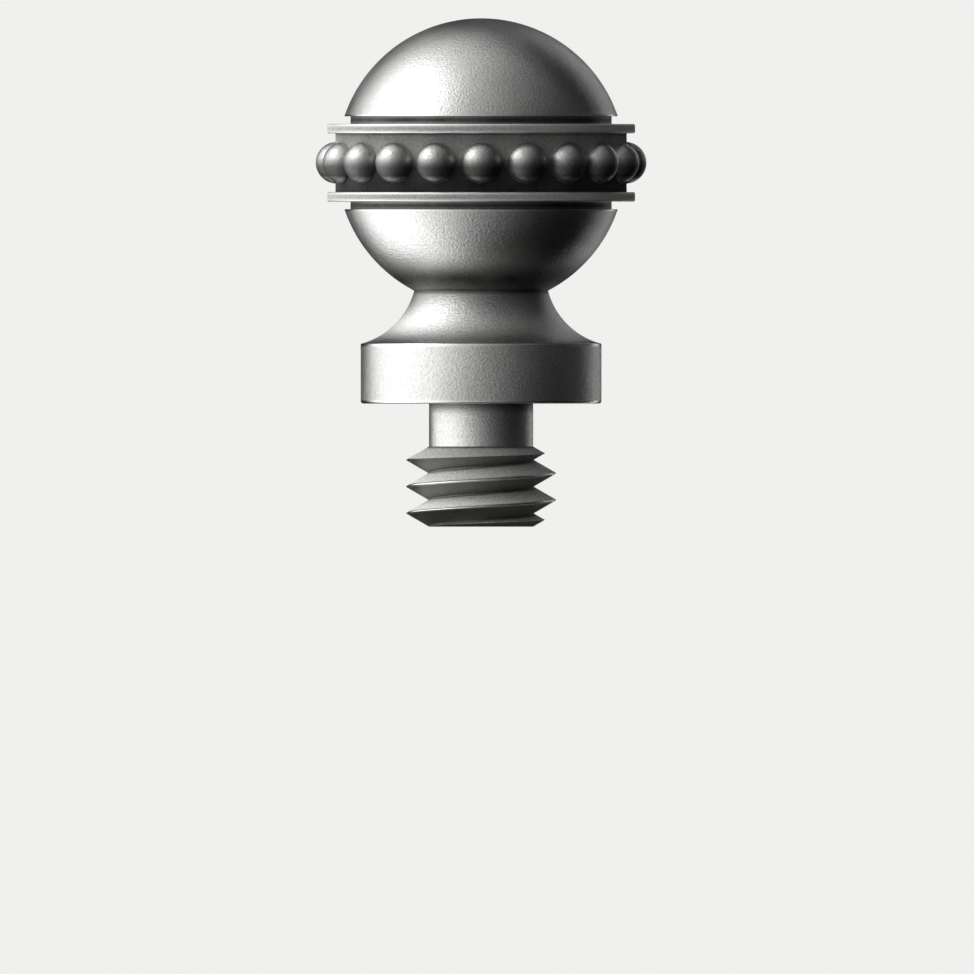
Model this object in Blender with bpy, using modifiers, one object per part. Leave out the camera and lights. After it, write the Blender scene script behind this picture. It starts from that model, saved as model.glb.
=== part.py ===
"""Beaded ball finial: a ball on a coved base drum, made in one piece with its threaded stud.

It stands on the end of the stud, with the origin at the middle of that end and +Z up the axis.
All lengths are in metres.
"""

import math

import bmesh
import bpy
from mathutils import Matrix

MM = 0.001

# The seat is the underside of the base drum, which lands on the tube that the stud screws into.
BASE_DIAMETER = 12.70 * MM
BASE_HEIGHT = 3.18 * MM

# The cove is a hollow arc from the drum's top edge up to the ball, which it meets at the waist.
# Its depth is how far it falls inside a straight line between the two.
COVE_HEIGHT = 2.77 * MM
COVE_DEPTH = 0.51 * MM
COVE_LEDGE = 0.09 * MM
WAIST_DIAMETER = 7.06 * MM

BALL_DIAMETER = 15.24 * MM

# Equal beads ring the ball's equator, as many as fit with at least this gap between them.
BEAD_DIAMETER = 2.20 * MM
LEAST_BEAD_GAP = 0.15 * MM

# The beads lie in a band between two thin flanges, each set off from the ball by a groove.
BEAD_TO_FLANGE = 0.45 * MM
BAND_PROJECTION = 0.06 * MM
FLANGE_THICKNESS = 0.50 * MM
FLANGE_PROJECTION = 0.50 * MM
GROOVE_WIDTH = 0.40 * MM
GROOVE_DEPTH = 0.33 * MM

# A coarse right-hand thread of 60 degree V form, 18 to the inch, with a chamfer at each end,
# below a plain neck.
THREAD_MAJOR_DIAMETER = 7.88 * MM
THREAD_PITCH = 1.411 * MM
THREAD_TURNS = 3
THREAD_FLANK_ANGLE = math.radians(30)
CREST_FLAT = 0.04 * MM
ROOT_FLAT = 0.04 * MM
NECK_LENGTH = 2.26 * MM
NECK_BELOW_ROOT = 0.04 * MM

# How finely the round shapes are divided.
STEPS_PER_BEAD = 3
STUD_STEPS = 40
DOME_SEGMENTS = 10
BOWL_SEGMENTS = 8
COVE_SEGMENTS = 7
BEAD_SEGMENTS = 14
BEAD_RINGS = 10
SHARP_EDGE_ANGLE = math.radians(25)

# Shapes that a Boolean joins or cuts run this far past each other.
OVERLAP = 0.5 * MM
MERGE_DISTANCE = 0.001 * MM

# Worked out from the sizes above.
THREAD_SLOPE = math.tan(THREAD_FLANK_ANGLE)
THREAD_LENGTH = THREAD_TURNS * THREAD_PITCH
THREAD_DEPTH = (THREAD_PITCH - CREST_FLAT - ROOT_FLAT) / 2 / THREAD_SLOPE
MAJOR_RADIUS = THREAD_MAJOR_DIAMETER / 2
ROOT_RADIUS = MAJOR_RADIUS - THREAD_DEPTH
NECK_RADIUS = ROOT_RADIUS - NECK_BELOW_ROOT
BASE_RADIUS = BASE_DIAMETER / 2
BALL_RADIUS = BALL_DIAMETER / 2
WAIST_ANGLE = math.acos(WAIST_DIAMETER / BALL_DIAMETER)
SEAT_HEIGHT = THREAD_LENGTH + NECK_LENGTH
DRUM_TOP = SEAT_HEIGHT + BASE_HEIGHT
BALL_CENTRE = DRUM_TOP + COVE_HEIGHT + BALL_RADIUS * math.sin(WAIST_ANGLE)
BEAD_COUNT = math.floor(math.pi * BALL_DIAMETER / (BEAD_DIAMETER + LEAST_BEAD_GAP))
BODY_STEPS = STEPS_PER_BEAD * BEAD_COUNT


def clear_scene():
    for obj in list(bpy.data.objects):
        bpy.data.objects.remove(obj, do_unlink=True)


def new_collection(name):
    collection = bpy.data.collections.new(name)
    bpy.context.scene.collection.children.link(collection)
    return collection


def object_from(bm, name, collection):
    """An object made of the bmesh, which this call frees."""
    mesh = bpy.data.meshes.new(name)
    bm.to_mesh(mesh)
    bm.free()
    obj = bpy.data.objects.new(name, mesh)
    collection.objects.link(obj)
    return obj


def make_helper(obj):
    """Marks a shape that only a Boolean or the finished copy reads."""
    obj.hide_render = True
    obj.display_type = "WIRE"
    return obj


def boolean(obj, name, operation, other):
    modifier = obj.modifiers.new(name, "BOOLEAN")
    modifier.operation = operation
    modifier.solver = "EXACT"
    modifier.object = other


def turned(name, profile, steps, collection):
    """A solid turned about Z, from points (radius, height) that run down its outer side."""
    bm = bmesh.new()
    points = [bm.verts.new((radius, 0.0, height)) for radius, height in profile]
    for upper, lower in zip(points, points[1:]):
        bm.edges.new((upper, lower))
    obj = object_from(bm, name, collection)
    screw = obj.modifiers.new("Turn", "SCREW")
    screw.axis = "Z"
    screw.steps = steps
    screw.render_steps = steps
    screw.use_merge_vertices = True
    screw.merge_threshold = MERGE_DISTANCE
    return make_helper(obj)


def arc(centre, radius, start, end, segments):
    """Points (radius, height) along an arc, from one angle above the horizontal to another."""
    angles = [start + (end - start) * i / segments for i in range(segments + 1)]
    return [(centre[0] + radius * math.cos(a), centre[1] + radius * math.sin(a)) for a in angles]


def hollow_arc(upper, lower, depth, segments):
    """The arc between two points that falls this far inside the straight line, towards the axis."""
    across, down = lower[0] - upper[0], upper[1] - lower[1]
    chord = math.hypot(across, down)
    radius = (chord**2 / 4 + depth**2) / (2 * depth)
    to_centre = (radius - depth) / chord
    middle = ((upper[0] + lower[0]) / 2, (upper[1] + lower[1]) / 2)
    centre = (middle[0] + down * to_centre, middle[1] + across * to_centre)
    start, end = (math.atan2(z - centre[1], r - centre[0]) % math.tau for r, z in (upper, lower))
    return arc(centre, radius, start, end, segments)


def band_profile(rim_radius, rim_height):
    """The band's outline from the upper groove to the lower one, mirrored about the equator."""
    flange_inside = BEAD_DIAMETER / 2 + BEAD_TO_FLANGE
    flange_outside = flange_inside + FLANGE_THICKNESS
    groove_radius = rim_radius - GROOVE_DEPTH
    flange_radius = BALL_RADIUS + FLANGE_PROJECTION
    band_radius = BALL_RADIUS + BAND_PROJECTION
    upper_half = [
        (groove_radius, rim_height),
        (groove_radius, flange_outside),
        (flange_radius, flange_outside),
        (flange_radius, flange_inside),
        (band_radius, flange_inside),
    ]
    lower_half = [(radius, -height) for radius, height in reversed(upper_half)]
    return [(radius, BALL_CENTRE + height) for radius, height in upper_half + lower_half]


def make_body(collection):
    """The ball with its band, the cove and the drum, turned from one outline."""
    rim_height = BEAD_DIAMETER / 2 + BEAD_TO_FLANGE + FLANGE_THICKNESS + GROOVE_WIDTH
    rim_angle = math.asin(rim_height / BALL_RADIUS)
    middle = (0.0, BALL_CENTRE)
    dome = arc(middle, BALL_RADIUS, math.pi / 2, rim_angle, DOME_SEGMENTS)
    dome[0] = (0.0, BALL_CENTRE + BALL_RADIUS)
    band = band_profile(BALL_RADIUS * math.cos(rim_angle), rim_height)
    bowl = arc(middle, BALL_RADIUS, -rim_angle, -WAIST_ANGLE, BOWL_SEGMENTS)
    cove = hollow_arc(bowl[-1], (BASE_RADIUS - COVE_LEDGE, DRUM_TOP), COVE_DEPTH, COVE_SEGMENTS)
    drum = [(BASE_RADIUS, DRUM_TOP), (BASE_RADIUS, SEAT_HEIGHT), (0.0, SEAT_HEIGHT)]
    return turned("turned_body", dome + band + bowl + cove[1:] + drum, BODY_STEPS, collection)


def make_beads(collection):
    """Equal spheres round the ball's equator, half sunk in the band."""
    bm = bmesh.new()
    for i in range(BEAD_COUNT):
        turn = Matrix.Rotation(math.tau * i / BEAD_COUNT, 4, "Z")
        place = Matrix.Translation((BALL_RADIUS, 0.0, BALL_CENTRE))
        pole_outwards = Matrix.Rotation(math.pi / 2, 4, "Y")
        bmesh.ops.create_uvsphere(
            bm,
            u_segments=BEAD_SEGMENTS,
            v_segments=BEAD_RINGS,
            radius=BEAD_DIAMETER / 2,
            matrix=turn @ place @ pole_outwards,
        )
    return make_helper(object_from(bm, "beads", collection))


def make_ridge(collection):
    """The thread's ridge before its ends are cut, from a turn below the stud to a turn above it.

    Its section has the crest flat and the two flanks outside, and tapers off inside the core.
    """
    crest = CREST_FLAT / 2
    shoulder = (THREAD_PITCH - ROOT_FLAT / 2) / 2
    shoulder_radius = MAJOR_RADIUS - (shoulder - crest) / THREAD_SLOPE
    section = (
        (MAJOR_RADIUS, crest),
        (shoulder_radius, shoulder),
        (ROOT_RADIUS / 2, 0.0),
        (shoulder_radius, -shoulder),
        (MAJOR_RADIUS, -crest),
    )
    turns = math.ceil(THREAD_TURNS) + 2
    bm = bmesh.new()
    face = bm.faces.new([bm.verts.new((radius, 0.0, height - THREAD_PITCH)) for radius, height in section])
    bmesh.ops.spin(
        bm,
        geom=[face, *face.edges, *face.verts],
        cent=(0.0, 0.0, 0.0),
        axis=(0.0, 0.0, 1.0),
        dvec=(0.0, 0.0, THREAD_PITCH / STUD_STEPS),
        angle=math.tau * turns,
        steps=turns * STUD_STEPS,
    )
    bmesh.ops.recalc_face_normals(bm, faces=bm.faces)
    return make_helper(object_from(bm, "thread_ridge", collection))


def make_stud(collection):
    """The neck and the threaded end: core and ridge, cut to the neck and to a chamfer at each end."""
    top = SEAT_HEIGHT + OVERLAP
    chamfer_radius = MAJOR_RADIUS + OVERLAP
    chamfer_height = (chamfer_radius - NECK_RADIUS) * THREAD_SLOPE
    core_outline = [
        (0.0, top + OVERLAP),
        (ROOT_RADIUS, top + OVERLAP),
        (ROOT_RADIUS, -OVERLAP),
        (0.0, -OVERLAP),
    ]
    envelope_outline = [
        (0.0, top),
        (NECK_RADIUS, top),
        (NECK_RADIUS, THREAD_LENGTH),
        (chamfer_radius, THREAD_LENGTH - chamfer_height),
        (chamfer_radius, chamfer_height),
        (NECK_RADIUS, 0.0),
        (0.0, 0.0),
    ]
    stud = turned("stud", core_outline, STUD_STEPS, collection)
    boolean(stud, "Add ridge", "UNION", make_ridge(collection))
    boolean(stud, "Cut ends", "INTERSECT", turned("stud_envelope", envelope_outline, STUD_STEPS, collection))
    return stud


def finial_metal():
    """Satin nickel plate."""
    material = bpy.data.materials.new("satin_nickel_plate")
    material.use_nodes = True
    shader = material.node_tree.nodes["Principled BSDF"]
    shader.inputs["Base Color"].default_value = (0.51, 0.50, 0.48, 1.0)
    shader.inputs["Metallic"].default_value = 1.0
    shader.inputs["Roughness"].default_value = 0.3
    return material


def finished_copy(obj, name, collection):
    """A plain mesh object with the other object's modifiers applied."""
    graph = bpy.context.evaluated_depsgraph_get()
    mesh = bpy.data.meshes.new_from_object(obj.evaluated_get(graph))
    mesh.name = name
    copy = bpy.data.objects.new(name, mesh)
    collection.objects.link(copy)
    return copy


def main():
    clear_scene()
    parts = new_collection("Ball finial")
    helpers = new_collection("Helpers")
    body = make_body(helpers)
    boolean(body, "Add beads", "UNION", make_beads(helpers))
    boolean(body, "Add stud", "UNION", make_stud(helpers))
    finial = finished_copy(body, "ball_finial", parts)
    finial.data.materials.clear()
    finial.data.materials.append(finial_metal())
    finial.data.shade_smooth()
    finial.data.set_sharp_from_angle(angle=SHARP_EDGE_ANGLE)


main()
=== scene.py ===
"""Looks of the beaded ball finial: satin nickel plate on turned brass, standing on the end of its stud."""

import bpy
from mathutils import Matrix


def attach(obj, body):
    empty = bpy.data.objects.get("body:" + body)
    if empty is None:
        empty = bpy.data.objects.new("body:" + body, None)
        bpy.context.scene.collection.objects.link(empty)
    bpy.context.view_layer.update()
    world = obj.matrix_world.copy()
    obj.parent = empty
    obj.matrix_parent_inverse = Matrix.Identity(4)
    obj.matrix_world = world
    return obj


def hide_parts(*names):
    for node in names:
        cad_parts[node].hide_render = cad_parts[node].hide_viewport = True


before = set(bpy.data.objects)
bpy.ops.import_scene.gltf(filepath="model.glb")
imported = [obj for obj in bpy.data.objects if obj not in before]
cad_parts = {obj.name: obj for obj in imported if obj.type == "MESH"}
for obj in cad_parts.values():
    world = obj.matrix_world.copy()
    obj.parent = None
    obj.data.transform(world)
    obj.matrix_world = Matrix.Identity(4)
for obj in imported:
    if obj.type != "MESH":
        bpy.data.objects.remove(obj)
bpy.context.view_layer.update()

import math
from types import SimpleNamespace

import bmesh
import bpy
from mathutils import Matrix, Vector

MM = 0.001

# The finial's sizes, as its solid has them, measured up from the end of the stud.
BASE_RADIUS = 6.35 * MM
BASE_HEIGHT = 3.18 * MM
COVE_HEIGHT = 2.77 * MM
COVE_DEPTH = 0.51 * MM
COVE_LEDGE = 0.09 * MM
WAIST_RADIUS = 3.53 * MM
BALL_RADIUS = 7.62 * MM
BEAD_RADIUS = 1.10 * MM
BEAD_COUNT = 20
BEAD_TO_FLANGE = 0.45 * MM
BAND_PROJECTION = 0.06 * MM
FLANGE_THICKNESS = 0.50 * MM
FLANGE_PROJECTION = 0.50 * MM
GROOVE_WIDTH = 0.40 * MM
GROOVE_DEPTH = 0.33 * MM
THREAD_RADIUS = 3.94 * MM
THREAD_PITCH = 1.411 * MM
THREAD_TURNS = 3
THREAD_SLOPE = math.tan(math.radians(30))
CREST_FLAT = 0.04 * MM
ROOT_FLAT = 0.04 * MM
NECK_LENGTH = 2.26 * MM
NECK_BELOW_ROOT = 0.04 * MM

# Worked out from them.
THREAD_LENGTH = THREAD_TURNS * THREAD_PITCH
ROOT_RADIUS = THREAD_RADIUS - (THREAD_PITCH - CREST_FLAT - ROOT_FLAT) / 2 / THREAD_SLOPE
NECK_RADIUS = ROOT_RADIUS - NECK_BELOW_ROOT
SEAT_HEIGHT = THREAD_LENGTH + NECK_LENGTH
DRUM_TOP = SEAT_HEIGHT + BASE_HEIGHT
WAIST_ANGLE = math.acos(WAIST_RADIUS / BALL_RADIUS)
BALL_CENTRE = DRUM_TOP + COVE_HEIGHT + BALL_RADIUS * math.sin(WAIST_ANGLE)
FLANGE_INSIDE = BEAD_RADIUS + BEAD_TO_FLANGE
FLANGE_OUTSIDE = FLANGE_INSIDE + FLANGE_THICKNESS
RIM_HEIGHT = FLANGE_OUTSIDE + GROOVE_WIDTH
RIM_ANGLE = math.asin(RIM_HEIGHT / BALL_RADIUS)
RIM_RADIUS = BALL_RADIUS * math.cos(RIM_ANGLE)
BAND_RADIUS = BALL_RADIUS + BAND_PROJECTION
FLANGE_RADIUS = BALL_RADIUS + FLANGE_PROJECTION
GROOVE_RADIUS = RIM_RADIUS - GROOVE_DEPTH

# The turner breaks each edge by hand with a file, and the tool's nose leaves a small radius in each corner.
DRUM_BREAK = 0.14 * MM
LEDGE_BREAK = COVE_LEDGE * 0.8
FLANGE_BREAK = 0.08 * MM
RIM_BREAK = 0.05 * MM
CORNER_RADIUS = 0.04 * MM

# How finely the metal is divided.
BODY_STEPS = 240
STUD_STEPS = 144
DOME_ROWS = 44
WALL_ROWS = 14
BOWL_ROWS = 32
COVE_ROWS = 28
BREAK_SEGMENTS = 4
BEAD_SIDES = 36
BEAD_RINGS = 22
SEAM = 0.0005 * MM
SHARP_ANGLE = math.radians(32)

# How far the stud's raw pieces reach past its ends and crests, before they are cut to its shape.
STUD_SPARE = 1 * MM

# The finish. The tool's real marks and the satin grain are finer, and are drawn as coarse as they can show.
TURNING_MARK = 0.12 * MM
TURNING_DEPTH = 0.004 * MM
GRAIN = 0.13 * MM
GRAIN_DEPTH = 0.027 * MM
CLOUD = 2.2 * MM
# The reach of the painted shade, of the cove's painted highlight and of the bright edges, which are partly
# wear.
PAINTED_SHADE_REACH = 0.45 * MM
UNDER_BOWL_REACH = 2.3 * MM
COVE_LIGHT_REACH = COVE_HEIGHT * 0.8
BRIGHT_EDGE_REACH = 0.16 * MM
PRESSING_MARK = 1.5 * MM

# Most of a noise lies between these values.
NOISE_ENDS = {"From Min": 0.3, "From Max": 0.7}

# Two bands of the outline, each as the height of its middle and half its own height.
BEAD_BAND = (BALL_CENTRE, FLANGE_INSIDE - SEAM)
THREAD_BAND = (THREAD_LENGTH / 2, THREAD_LENGTH / 2)

# The drawing's own scale and frame, which the camera keeps.
FRAME_PIXELS = 974
MM_PER_PIXEL = 0.05274
AXIS_COLUMN = 481.1
SEAT_ROW = 403.6
CAMERA_DISTANCE = 0.5

# The table and its light.
FLOOR_REACH = 3.0
SHADE_RADIUS = 9 * MM
SHADE_SIDES = 48
LIGHT_DISTANCE = 0.3
TENT_GLOW = 2.0


# Modelling

def object_of(bm, name):
    mesh = bpy.data.meshes.new(name)
    bm.to_mesh(mesh)
    bm.free()
    piece = bpy.data.objects.new(name, mesh)
    bpy.context.scene.collection.objects.link(piece)
    return piece


def line_to(bm, start, radius, height):
    """Draws a straight stretch of an outline, and returns its end."""
    end = bmesh.ops.extrude_vert_indiv(bm, verts=[start])["verts"][0]
    end.co = (radius, 0.0, height)
    return end


def arc_to(bm, start, centre, turn, steps):
    """Draws an arc of an outline about a centre (radius, height), clockwise if turn is positive."""
    made = bmesh.ops.spin(
        bm,
        geom=[start],
        cent=(centre[0], 0.0, centre[1]),
        axis=(0.0, 1.0, 0.0),
        dvec=(0.0, 0.0, 0.0),
        angle=turn,
        steps=steps,
    )
    return next(part for part in made["geom_last"] if isinstance(part, bmesh.types.BMVert))


def round_corners(bm, corners, radius):
    bmesh.ops.bevel(
        bm,
        geom=corners,
        offset=radius,
        offset_type="OFFSET",
        segments=BREAK_SEGMENTS,
        profile=0.5,
        affect="VERTICES",
        clamp_overlap=True,
        material=-1,
    )


def turn_outline(bm, steps, climb=0.0, turns=1):
    """Turns the outline or section about Z. A climb makes a helix, which rises that much each turn."""
    bmesh.ops.spin(
        bm,
        geom=[*bm.verts, *bm.edges, *bm.faces],
        cent=(0.0, 0.0, 0.0),
        axis=(0.0, 0.0, 1.0),
        dvec=(0.0, 0.0, climb / steps),
        angle=math.tau * turns,
        steps=steps * turns,
        use_merge=not climb,
    )
    bmesh.ops.remove_doubles(bm, verts=bm.verts, dist=SEAM)
    bmesh.ops.recalc_face_normals(bm, faces=bm.faces)


def band_outline(bm, rim):
    """Draws the band from the dome's rim down to the bowl's, with both flanges, both grooves and the wall."""
    corners, flange_edges = [], []
    end = rim
    half_band = [
        (GROOVE_RADIUS, RIM_HEIGHT, corners),
        (GROOVE_RADIUS, FLANGE_OUTSIDE, corners),
        (FLANGE_RADIUS, FLANGE_OUTSIDE, flange_edges),
        (FLANGE_RADIUS, FLANGE_INSIDE, flange_edges),
        (BAND_RADIUS, FLANGE_INSIDE, corners),
    ]
    for radius, height, kind in half_band:
        end = line_to(bm, end, radius, BALL_CENTRE + height)
        kind.append(end)
    for row in range(1, WALL_ROWS):
        end = line_to(bm, end, BAND_RADIUS, BALL_CENTRE + FLANGE_INSIDE * (1 - 2 * row / WALL_ROWS))
    for radius, height, kind in reversed(half_band):
        end = line_to(bm, end, radius, BALL_CENTRE - height)
        kind.append(end)
    lower_rim = line_to(bm, end, rim.co.x, BALL_CENTRE - RIM_HEIGHT)
    return lower_rim, corners, flange_edges


def cove_outline(bm, waist):
    """Draws the cove from the waist down to its ledge, as a hollow arc that is COVE_DEPTH deep."""
    across = BASE_RADIUS - COVE_LEDGE - waist.co.x
    chord = math.hypot(across, COVE_HEIGHT)
    cove_radius = (chord**2 / 4 + COVE_DEPTH**2) / (2 * COVE_DEPTH)
    to_centre = (cove_radius - COVE_DEPTH) / chord
    cove_centre = (
        waist.co.x + across / 2 + COVE_HEIGHT * to_centre,
        DRUM_TOP + COVE_HEIGHT / 2 + across * to_centre,
    )
    return arc_to(bm, waist, cove_centre, -2 * math.asin(chord / 2 / cove_radius), COVE_ROWS)


def turned_body():
    """The ball, its band, the cove and the drum, as one outline turned about the axis."""
    bm = bmesh.new()
    apex = bm.verts.new((0.0, 0.0, BALL_CENTRE + BALL_RADIUS))
    rim = arc_to(bm, apex, (0.0, BALL_CENTRE), math.pi / 2 - RIM_ANGLE, DOME_ROWS)
    lower_rim, corners, flange_edges = band_outline(bm, rim)
    waist = arc_to(bm, lower_rim, (0.0, BALL_CENTRE), WAIST_ANGLE - RIM_ANGLE, BOWL_ROWS)
    ledge = cove_outline(bm, waist)
    drum_edge = line_to(bm, ledge, BASE_RADIUS, DRUM_TOP)
    seat_edge = line_to(bm, drum_edge, BASE_RADIUS, SEAT_HEIGHT)
    line_to(bm, seat_edge, 0.0, SEAT_HEIGHT)

    round_corners(bm, [drum_edge], LEDGE_BREAK)
    round_corners(bm, [seat_edge], DRUM_BREAK)
    round_corners(bm, flange_edges, FLANGE_BREAK)
    round_corners(bm, [rim, lower_rim], RIM_BREAK)
    round_corners(bm, [waist, *corners], CORNER_RADIUS)
    turn_outline(bm, BODY_STEPS)
    return object_of(bm, "turned_body")


def bead_ring():
    bm = bmesh.new()
    for i in range(BEAD_COUNT):
        turn = Matrix.Rotation(math.tau * i / BEAD_COUNT, 4, "Z")
        place = Matrix.Translation((BALL_RADIUS, 0.0, BALL_CENTRE))
        pole_outwards = Matrix.Rotation(math.pi / 2, 4, "Y")
        bmesh.ops.create_uvsphere(
            bm,
            u_segments=BEAD_SIDES,
            v_segments=BEAD_RINGS,
            radius=BEAD_RADIUS,
            matrix=turn @ place @ pole_outwards,
        )
    return object_of(bm, "bead_ring")


def turned_rod(name, points):
    """A closed solid turned from straight stretches between points (radius, height)."""
    bm = bmesh.new()
    (radius, height), *others = points
    end = bm.verts.new((radius, 0.0, height))
    for radius, height in others:
        end = line_to(bm, end, radius, height)
    turn_outline(bm, STUD_STEPS)
    return object_of(bm, name)


def thread_ridge():
    """One ridge that climbs like the real thread, with a turn to spare below the stud and above it."""
    bm = bmesh.new()
    shoulder = (THREAD_PITCH - ROOT_FLAT / 2) / 2
    shoulder_radius = THREAD_RADIUS - (shoulder - CREST_FLAT / 2) / THREAD_SLOPE
    section = (
        (THREAD_RADIUS, CREST_FLAT / 2),
        (shoulder_radius, shoulder),
        (ROOT_RADIUS / 2, 0.0),
        (shoulder_radius, -shoulder),
        (THREAD_RADIUS, -CREST_FLAT / 2),
    )
    bm.faces.new([bm.verts.new((radius, 0.0, height - THREAD_PITCH)) for radius, height in section])
    turn_outline(bm, STUD_STEPS, climb=THREAD_PITCH, turns=THREAD_TURNS + 2)
    return object_of(bm, "thread_ridge")


def combine(piece, operation, other):
    """Joins the other solid to the piece, or cuts the piece down to it, and uses the other up.

    Slivers and doubled points that the cut leaves are merged, so the piece stays closed.
    """
    modifier = piece.modifiers.new(operation, "BOOLEAN")
    modifier.operation = operation
    modifier.solver = "EXACT"
    modifier.object = other
    bm = bmesh.new()
    bm.from_object(piece, bpy.context.evaluated_depsgraph_get())
    bmesh.ops.remove_doubles(bm, verts=bm.verts, dist=SEAM)
    bmesh.ops.dissolve_degenerate(bm, edges=bm.edges, dist=SEAM)
    piece.modifiers.clear()
    bm.to_mesh(piece.data)
    bm.free()
    bpy.data.objects.remove(other, do_unlink=True)


def threaded_stud():
    """The neck and the thread, cut to one envelope that chamfers the thread at both ends."""
    top = SEAT_HEIGHT + STUD_SPARE / 2
    core = [
        (0, top + STUD_SPARE),
        (ROOT_RADIUS, top + STUD_SPARE),
        (ROOT_RADIUS, -STUD_SPARE),
        (0, -STUD_SPARE),
    ]
    chamfer_radius = THREAD_RADIUS + STUD_SPARE
    chamfer_height = (chamfer_radius - NECK_RADIUS) * THREAD_SLOPE
    envelope = [
        (0, top),
        (NECK_RADIUS, top),
        (NECK_RADIUS, THREAD_LENGTH),
        (chamfer_radius, THREAD_LENGTH - chamfer_height),
        (chamfer_radius, chamfer_height),
        (NECK_RADIUS, 0),
        (0, 0),
    ]
    stud = turned_rod("stud", core)
    combine(stud, "UNION", thread_ridge())
    combine(stud, "INTERSECT", turned_rod("stud_envelope", envelope))
    return stud


# Looks

def linear(hex_colour):
    """The linear colour of an sRGB hex value."""
    channels = [int(hex_colour[i : i + 2], 16) / 255 for i in (1, 3, 5)]
    return [*(c / 12.92 if c <= 0.04045 else ((c + 0.055) / 1.055) ** 2.4 for c in channels), 1.0]


def add_node(tree, kind, inputs=None, output=0, stops=(), **settings):
    """Adds a node, sets or links its inputs, and returns one of its outputs. Stops fill a colour ramp."""
    node = tree.nodes.new("ShaderNode" + kind)
    for name, value in settings.items():
        setattr(node, name, value)
    for name, value in (inputs or {}).items():
        if isinstance(value, bpy.types.NodeSocket):
            tree.links.new(value, node.inputs[name])
        else:
            node.inputs[name].default_value = value
    for i, (position, shade) in enumerate(stops):
        ramp = node.color_ramp.elements
        element = ramp[i] if i < len(ramp) else ramp.new(position)
        element.position, element.color = position, (shade, shade, shade, 1.0)
    return node.outputs[output]


def new_material(name):
    material = bpy.data.materials.new(name)
    material.use_nodes = True
    return material, material.node_tree, material.node_tree.nodes["Principled BSDF"]


def above_and_below(radius, height):
    """The two places (radius, height) of the outline that far above the ball's centre and below it."""
    return [(radius, BALL_CENTRE + side * height) for side in (-1, 1)]


def near_rings(tree, spot, rings, reach, most=1.0):
    """The most on any of the rings (radius, height), and falling softly to 0 at their reach."""
    nearest = reach
    for radius, height in rings:
        ring = (radius, height, 0.0)
        distance = add_node(tree, "VectorMath", {0: spot.profile, 1: ring}, "Value", operation="DISTANCE")
        nearest = add_node(tree, "Math", {0: distance, 1: nearest}, operation="MINIMUM")
    return add_node(
        tree,
        "MapRange",
        {"Value": nearest, "From Min": reach, "From Max": 0.0, "To Max": most},
        interpolation_type="SMOOTHSTEP",
    )


def within_band(tree, spot, band, none_at, full_at, most=1.0):
    """Up to the most as the radius goes from none_at to full_at, at the heights of a band (middle, half)."""
    middle, half = band
    amount = add_node(
        tree,
        "MapRange",
        {"Value": spot.radius, "From Min": none_at, "From Max": full_at, "To Max": most},
        interpolation_type="SMOOTHSTEP",
    )
    inside = add_node(tree, "Math", {0: spot.height, 1: middle, 2: half}, operation="COMPARE")
    return add_node(tree, "Math", {0: amount, 1: inside}, operation="MULTIPLY")


def lower_part(tree, spot, mask, none_at, full_at, most):
    """The mask, up to the most as the height goes from none_at to full_at, in bead radii above the middle."""
    ends = {"From Min": BALL_CENTRE + BEAD_RADIUS * none_at, "From Max": BALL_CENTRE + BEAD_RADIUS * full_at}
    amount = add_node(
        tree,
        "MapRange",
        {"Value": spot.height, **ends, "To Max": most},
        interpolation_type="SMOOTHSTEP",
    )
    return add_node(tree, "Math", {0: mask, 1: amount}, operation="MULTIPLY")


def greatest(tree, masks):
    """The strongest of the masks at each point."""
    most = 0.0
    for mask in masks:
        most = add_node(tree, "Math", {0: most, 1: mask}, operation="MAXIMUM")
    return most


def thread_flanks(tree, on_thread):
    """The upward flanks, which face the drum, get a painted highlight, and the downward ones get painted
    shade.
    """
    facing_up = add_node(tree, "SeparateXYZ", {0: add_node(tree, "TexCoord", output="Normal")}, "Z")
    facing_down = add_node(tree, "Math", {0: facing_up, 1: -0.75}, operation="MULTIPLY", use_clamp=True)
    upper_flank_highlight = add_node(tree, "Math", {0: on_thread, 1: facing_up}, operation="MULTIPLY", use_clamp=True)
    lower_flank_shade = add_node(tree, "Math", {0: on_thread, 1: facing_down}, operation="MULTIPLY")
    return upper_flank_highlight, lower_flank_shade


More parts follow.
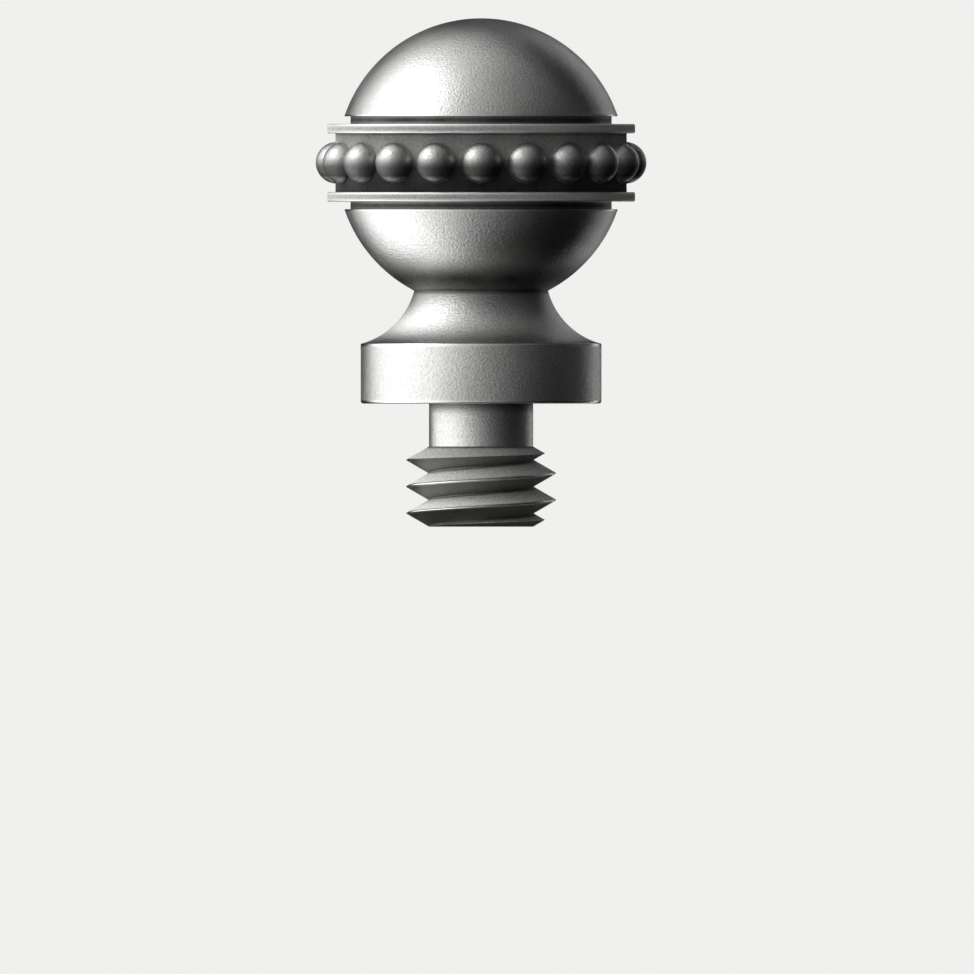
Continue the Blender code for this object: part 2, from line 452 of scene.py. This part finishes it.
def painted_shade_places(tree, spot, patchy, painted_shade_flanks):
    """Painted shade, in uneven patches: in the grooves, at the flanges' feet, the waist, under the bowl, on
    the neck's top, the cove's ledge, the beads, the thread's roots and its downward flanks.
    """
    above_waist = WAIST_ANGLE - UNDER_BOWL_REACH / 2 / BALL_RADIUS
    under_bowl = (BALL_RADIUS * math.cos(above_waist), BALL_CENTRE - BALL_RADIUS * math.sin(above_waist))
    # The grooves, the flanges' feet, the waist, the bowl's underside, the neck's top and the cove's ledge.
    rings = (
        (above_and_below(GROOVE_RADIUS, (FLANGE_OUTSIDE + RIM_HEIGHT) / 2), PAINTED_SHADE_REACH, 1.0),
        (above_and_below(BAND_RADIUS, FLANGE_INSIDE), PAINTED_SHADE_REACH * 0.6, 0.5),
        ([(WAIST_RADIUS, DRUM_TOP + COVE_HEIGHT)], PAINTED_SHADE_REACH, 0.9),
        ([under_bowl], UNDER_BOWL_REACH, 1.0),
        ([(NECK_RADIUS, SEAT_HEIGHT)], PAINTED_SHADE_REACH * 1.5, 0.8),
        ([(BASE_RADIUS - COVE_LEDGE, DRUM_TOP)], COVE_LEDGE, 1.0),
    )
    # The beads' feet, the beads themselves and the thread's roots.
    bands = (
        (BEAD_BAND, BAND_RADIUS + BEAD_RADIUS / 2, BAND_RADIUS, 0.2),
        (BEAD_BAND, BAND_RADIUS + SEAM, BAND_RADIUS + BEAD_RADIUS / 2, 0.25),
        (THREAD_BAND, ROOT_RADIUS + PAINTED_SHADE_REACH / 2, ROOT_RADIUS, 0.7),
    )
    # Painted shade on the beads' lower halves and the wall below them. It is taken off again at the beads'
    # lowest edges, which leaves a painted crescent of reflected light there.
    on_band = within_band(tree, spot, BEAD_BAND, BALL_RADIUS - GROOVE_DEPTH, BALL_RADIUS)
    on_beads = within_band(tree, spot, BEAD_BAND, BAND_RADIUS + 2 * SEAM, BAND_RADIUS + BEAD_RADIUS * 0.15)
    under_beads = lower_part(tree, spot, on_band, 0.55, -0.3, 0.95)
    bead_edges = lower_part(tree, spot, on_beads, -0.6, -0.9, 0.85)

    masks = [near_rings(tree, spot, *ring) for ring in rings]
    masks += [within_band(tree, spot, *band) for band in bands]
    painted_shade_mask = greatest(tree, [*masks, under_beads, painted_shade_flanks])
    painted_shade_mask = add_node(tree, "Math", {0: painted_shade_mask, 1: patchy}, operation="MULTIPLY")
    return add_node(tree, "Math", {0: painted_shade_mask, 1: bead_edges}, operation="SUBTRACT", use_clamp=True)


def edge_wear_and_highlight(tree, spot, patchy):
    """Where the plate is brighter and smoother: its edges and the thread's crests.

    This is partly wear from hands and cloths and partly painted highlight, as on the drum's two edges.
    """
    edges = near_rings(
        tree,
        spot,
        [
            *above_and_below(FLANGE_RADIUS, FLANGE_OUTSIDE),
            *above_and_below(FLANGE_RADIUS, FLANGE_INSIDE),
            *above_and_below(RIM_RADIUS, RIM_HEIGHT),
            (BASE_RADIUS, DRUM_TOP - BRIGHT_EDGE_REACH / 2),
            (BASE_RADIUS, SEAT_HEIGHT + BRIGHT_EDGE_REACH / 2),
        ],
        BRIGHT_EDGE_REACH,
    )
    crests = within_band(tree, spot, THREAD_BAND, THREAD_RADIUS - BRIGHT_EDGE_REACH, THREAD_RADIUS)
    wear_and_highlight = greatest(tree, [edges, crests])
    return add_node(tree, "Math", {0: wear_and_highlight, 1: patchy}, operation="MULTIPLY")


def painted_light_on_cove(tree, spot):
    """The cove, whose tone is lightened as a painted highlight."""
    cove_middle = ((WAIST_RADIUS + BASE_RADIUS) / 2 - COVE_DEPTH, DRUM_TOP + COVE_HEIGHT / 2 - COVE_DEPTH)
    return near_rings(tree, spot, [cove_middle], COVE_LIGHT_REACH)


def unpolished_places(tree, spot):
    """The flanges' narrow faces and the wall between the beads, which stay as the tool left them."""
    flange_faces = above_and_below(FLANGE_RADIUS, (FLANGE_INSIDE + FLANGE_OUTSIDE) / 2)
    flanges = near_rings(tree, spot, flange_faces, FLANGE_THICKNESS * 0.75)
    wall = within_band(tree, spot, BEAD_BAND, BAND_RADIUS + BEAD_RADIUS / 4, BAND_RADIUS)
    return flanges, wall


def finish_noises(tree, place, profile):
    """The tool's rings, the satin grain, and the clouds that make its wear uneven."""
    rings = add_node(
        tree,
        "TexNoise",
        {"Vector": profile, "Scale": 1 / TURNING_MARK, "Detail": 2.0, "Roughness": 0.6},
        noise_dimensions="2D",
    )
    grain, clouds = (
        add_node(
            tree, "TexNoise", {"Vector": place, "Scale": 1 / size, "Detail": detail, "Roughness": fineness}
        )
        for size, detail, fineness in ((GRAIN, 3.0, 0.72), (CLOUD, 4.0, 0.55))
    )
    return rings, grain, clouds


def satin_nickel():
    """Nickel plate over turned brass, satin finished with fine abrasive.

    The eye gets a pale grey metal with a soft, slightly grainy sheen that follows the tool's rings.
    Its tone carries painted shade in the grooves, at the waist and under the bowl and the beads, and
    painted highlights on the cove and the upward thread flanks. Its edges are brighter, partly from wear
    and partly as painted highlight. It is smoother on its edges and rougher where the shade is painted.
    """
    material, tree, shader = new_material("satin_nickel_plate_on_turned_brass")
    place = add_node(tree, "TexCoord", output="Object")
    across = add_node(tree, "VectorMath", {0: place, 1: (1.0, 1.0, 0.0)}, operation="MULTIPLY")
    radius = add_node(tree, "VectorMath", {0: across}, "Value", operation="LENGTH")
    height = add_node(tree, "SeparateXYZ", {0: place}, "Z")
    profile = add_node(tree, "CombineXYZ", {"X": radius, "Y": height})
    spot = SimpleNamespace(radius=radius, height=height, profile=profile)

    rings, grain, clouds = finish_noises(tree, place, profile)
    patchy = add_node(tree, "MapRange", {"Value": clouds, **NOISE_ENDS, "To Min": 0.85})
    pits = add_node(tree, "MapRange", {"Value": grain, "From Min": 0.44, "From Max": 0.64, "To Max": 0.24})

    on_thread = within_band(tree, spot, THREAD_BAND, ROOT_RADIUS - BRIGHT_EDGE_REACH, ROOT_RADIUS)
    # Painted highlight on the thread's upward flanks and painted shade on its downward ones.
    painted_highlight_flanks, painted_shade_flanks = thread_flanks(tree, on_thread)
    painted_shade_mask = painted_shade_places(tree, spot, patchy, painted_shade_flanks)
    wear_and_highlight = edge_wear_and_highlight(tree, spot, patchy)
    cove_painted_light = painted_light_on_cove(tree, spot)
    flanges, wall = unpolished_places(tree, spot)

    tone = linear("#bcbcbb")
    # Layers on the metal's tone: random clouds, painted highlights on the upward thread flanks and the cove,
    # grain pits, painted shade, and bright edges that are partly wear and partly painted highlight.
    for mask, hex_colour in (
        (clouds, "#cdcdcb"),
        (painted_highlight_flanks, "#f6f6f4"),
        (cove_painted_light, "#f6f6f4"),
        (pits, "#5e5e5d"),
        (painted_shade_mask, "#2e2e2d"),
        (wear_and_highlight, "#e2e2e0"),
    ):
        layers = {"Factor": mask, "A": tone, "B": linear(hex_colour)}
        tone = add_node(tree, "Mix", layers, "Result", data_type="RGBA")
    tree.links.new(tone, shader.inputs["Base Color"])

    roughness = add_node(tree, "MapRange", {"Value": clouds, **NOISE_ENDS, "To Min": 0.27, "To Max": 0.34})
    for marks, target in ((grain, 0.45), (rings, 0.22)):
        share = add_node(tree, "Math", {0: marks, 1: 0.25}, operation="MULTIPLY")
        roughness = add_node(tree, "Mix", {"Factor": share, "A": roughness, "B": target}, "Result")
    for mask, target in (
        (cove_painted_light, 0.52),
        (on_thread, 0.6),
        (painted_highlight_flanks, 0.8),
        (painted_shade_mask, 0.55),
        (wear_and_highlight, 0.2),
        (flanges, 1.0),
        (wall, 1.0),
    ):
        roughness = add_node(tree, "Mix", {"Factor": mask, "A": roughness, "B": target}, "Result")
    tree.links.new(roughness, shader.inputs["Roughness"])

    grain_strength = add_node(tree, "Math", {0: wear_and_highlight, 1: -0.8, 2: 1.0}, operation="MULTIPLY_ADD")
    relief = add_node(tree, "Bump", {"Height": rings, "Strength": 1.0, "Distance": TURNING_DEPTH})
    relief = add_node(
        tree, "Bump", {"Height": grain, "Strength": grain_strength, "Distance": GRAIN_DEPTH, "Normal": relief}
    )
    tree.links.new(relief, shader.inputs["Normal"])

    shader.inputs["Metallic"].default_value = 1.0
    return material


def pressed_sheet(name, darker, lighter):
    """The table's laminate, made matt by pressing, or the grey sheet of painted shade under the stud.

    It mirrors nothing, and its tone is faintly uneven from pressing.
    """
    material, tree, shader = new_material(name)
    place = add_node(tree, "TexCoord", output="Object")
    pressing = add_node(tree, "TexNoise", {"Vector": place, "Scale": 1 / PRESSING_MARK, "Detail": 2.0})
    layers = {"Factor": pressing, "A": linear(darker), "B": linear(lighter)}
    tone = add_node(tree, "Mix", layers, "Result", data_type="RGBA")
    tree.links.new(tone, shader.inputs["Base Color"])
    shader.inputs["Roughness"].default_value = 0.9
    shader.inputs["Specular IOR Level"].default_value = 0.0
    return material


# Stage

def floor():
    bm = bmesh.new()
    bmesh.ops.create_grid(bm, x_segments=1, y_segments=1, size=FLOOR_REACH)
    ground = object_of(bm, "floor")
    ground.data.materials.append(pressed_sheet("pressed_white_laminate", "#f1f1ef", "#f4f4f2"))
    ground.visible_glossy = False


def shade_under_stud():
    """The stud's own shade on the table, which only the metal mirrors."""
    bm = bmesh.new()
    bmesh.ops.create_circle(bm, cap_ends=True, segments=SHADE_SIDES, radius=SHADE_RADIUS)
    shade = object_of(bm, "shade_under_stud")
    # The disc's grey is painted shade: it stands in for the stud's shadow, in the metal's reflections only.
    shade.data.materials.append(pressed_sheet("grey_sheet_of_painted_shade", "#787877", "#80807f"))
    for rays in ("visible_camera", "visible_diffuse", "visible_shadow", "visible_transmission"):
        setattr(shade, rays, False)


def towards(azimuth, elevation):
    """The direction of a light, in degrees. Azimuth 0 is on the camera's side and 90 is on the right."""
    turn, rise = math.radians(azimuth), math.radians(elevation)
    return Vector((math.sin(turn) * math.cos(rise), -math.cos(turn) * math.cos(rise), math.sin(rise)))


def soft_box(name, azimuth, elevation, width, height, radiance):
    """A light that only the metal mirrors. Its width and height are in degrees, as seen from the finial."""
    away = towards(azimuth, elevation)
    data = bpy.data.lights.new(name, "AREA")
    data.shape = "RECTANGLE"
    data.size = 2 * LIGHT_DISTANCE * math.tan(math.radians(width / 2))
    data.size_y = 2 * LIGHT_DISTANCE * math.tan(math.radians(height / 2))
    data.energy = radiance * math.pi * data.size * data.size_y
    lamp = bpy.data.objects.new(name, data)
    lamp.location = Vector((0.0, 0.0, BALL_CENTRE)) + away * LIGHT_DISTANCE
    lamp.rotation_euler = away.to_track_quat("Z", "Y").to_euler()
    lamp.visible_camera = False
    lamp.visible_diffuse = False
    bpy.context.scene.collection.objects.link(lamp)


def window(azimuth, elevation, width, strength):
    """Even daylight over the table, from a window that wide in degrees. The metal doesn't mirror it."""
    data = bpy.data.lights.new("window", "SUN")
    data.angle = math.radians(width)
    data.energy = strength
    lamp = bpy.data.objects.new("window", data)
    lamp.rotation_euler = towards(azimuth, elevation).to_track_quat("Z", "Y").to_euler()
    lamp.visible_glossy = False
    bpy.context.scene.collection.objects.link(lamp)


def nearness(tree, direction, middle):
    """The cosine of the angle between a direction and the middle of a light."""
    return add_node(tree, "VectorMath", {0: direction, 1: middle}, "Value", operation="DOT_PRODUCT")


def share_of_turn(tree, direction, middle):
    """From 0, facing away from the middle of a light, to 1, facing it."""
    cosine = nearness(tree, direction, middle)
    return add_node(tree, "MapRange", {"Value": cosine, "From Min": -1.0, "From Max": 1.0})


def facing(tree, direction, middle, start, full, at_start, at_full):
    """Goes from at_start to at_full as the direction nears the middle, given the cosines of both angles."""
    cosine = nearness(tree, direction, middle)
    ends = {"From Min": start, "From Max": full, "To Min": at_start, "To Max": at_full}
    return add_node(tree, "MapRange", {"Value": cosine, **ends}, interpolation_type="SMOOTHSTEP")


def tent():
    """A light tent round the finial: bright on the left and dying away to the right.

    The table throws some of its light up on the left. Black flags behind the finial and on its right draw its
    edges, and a pale strip on the right lifts the far edge. The camera sees the tent in the lit table's tone.
    """
    world = bpy.data.worlds.new("light_tent")
    world.use_nodes = True
    tree = world.node_tree
    direction = add_node(tree, "TexCoord", output="Generated")

    share = share_of_turn(tree, direction, towards(-104, 4))
    cloth = ((0.0, 0.01), (0.14, 0.05), (0.35, 0.16), (0.6, 0.42), (0.72, 0.72), (0.88, 1.0))
    glow = add_node(tree, "ValToRGB", {"Fac": share}, stops=cloth)
    from_table = facing(tree, direction, towards(-100, -50), 0.78, 0.97, 0.0, 0.45)
    glow = add_node(tree, "VectorMath", {0: glow, 1: from_table}, operation="ADD")

    # Each flag's middle, the cosines of the angles where it starts and is full, and the light that it leaves.
    for middle, start, full, left in (
        (towards(135, 40), 0.78, 0.93, 0.06),
        (towards(180, 42), 0.84, 0.95, 0.5),
        (towards(100, -60), 0.5, 0.85, 0.06),
        (towards(180, -55), 0.72, 0.88, 0.06),
        (towards(180, 0), 0.5, 0.8, 0.0),
    ):
        flag = facing(tree, direction, middle, start, full, 1.0, left)
        glow = add_node(tree, "VectorMath", {0: glow, "Scale": flag}, operation="SCALE")

    behind = share_of_turn(tree, direction, towards(180, 0))
    pale_strip = ((0.0, 0.0), (0.88, 0.0), (0.915, 0.9), (0.95, 0.0))
    strip = add_node(tree, "ValToRGB", {"Fac": behind}, stops=pale_strip)
    right_half = facing(tree, direction, towards(90, 0), 0.0, 0.4, 0.0, 1.0)
    strip = add_node(tree, "VectorMath", {0: strip, "Scale": right_half}, operation="SCALE")

    glow = add_node(tree, "VectorMath", {0: glow, 1: strip}, operation="ADD")
    glow = add_node(tree, "VectorMath", {0: glow, "Scale": TENT_GLOW}, operation="SCALE")
    seen = add_node(tree, "LightPath", output="Is Camera Ray")
    layers = {"Factor": seen, "A": glow, "B": linear("#f0f0ee")}
    shade = add_node(tree, "Mix", layers, "Result", data_type="RGBA")
    tree.links.new(shade, tree.nodes["Background"].inputs["Color"])
    bpy.context.scene.world = world


def camera():
    """Looks straight at the finial's side, at the drawing's scale, with its axis and seat in their places."""
    data = bpy.data.cameras.new("camera")
    data.type = "ORTHO"
    data.ortho_scale = FRAME_PIXELS * MM_PER_PIXEL * MM
    data.clip_end = 10.0
    eye = bpy.data.objects.new("camera", data)
    middle = FRAME_PIXELS / 2
    eye.location = (
        (middle - AXIS_COLUMN) * MM_PER_PIXEL * MM,
        -CAMERA_DISTANCE,
        SEAT_HEIGHT + (SEAT_ROW - middle) * MM_PER_PIXEL * MM,
    )
    eye.rotation_euler = (math.radians(90), 0.0, 0.0)
    bpy.context.scene.collection.objects.link(eye)
    bpy.context.scene.camera = eye


finial = turned_body()
combine(finial, "UNION", bead_ring())
combine(finial, "UNION", threaded_stud())
finial.name = "finial"
finial.data.materials.clear()
finial.data.materials.append(satin_nickel())
finial.data.shade_smooth()
finial.data.set_sharp_from_angle(angle=SHARP_ANGLE)
even_shading = finial.modifiers.new("even_shading", "WEIGHTED_NORMAL")
even_shading.keep_sharp = True
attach(finial, "root")
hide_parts("ball_finial")

floor()
shade_under_stud()
tent()
soft_box("key", azimuth=-75, elevation=42, width=36, height=30, radiance=3.0)
window(azimuth=-60, elevation=62, width=40, strength=1.01)
camera()
bpy.context.scene.view_settings.view_transform = "Standard"
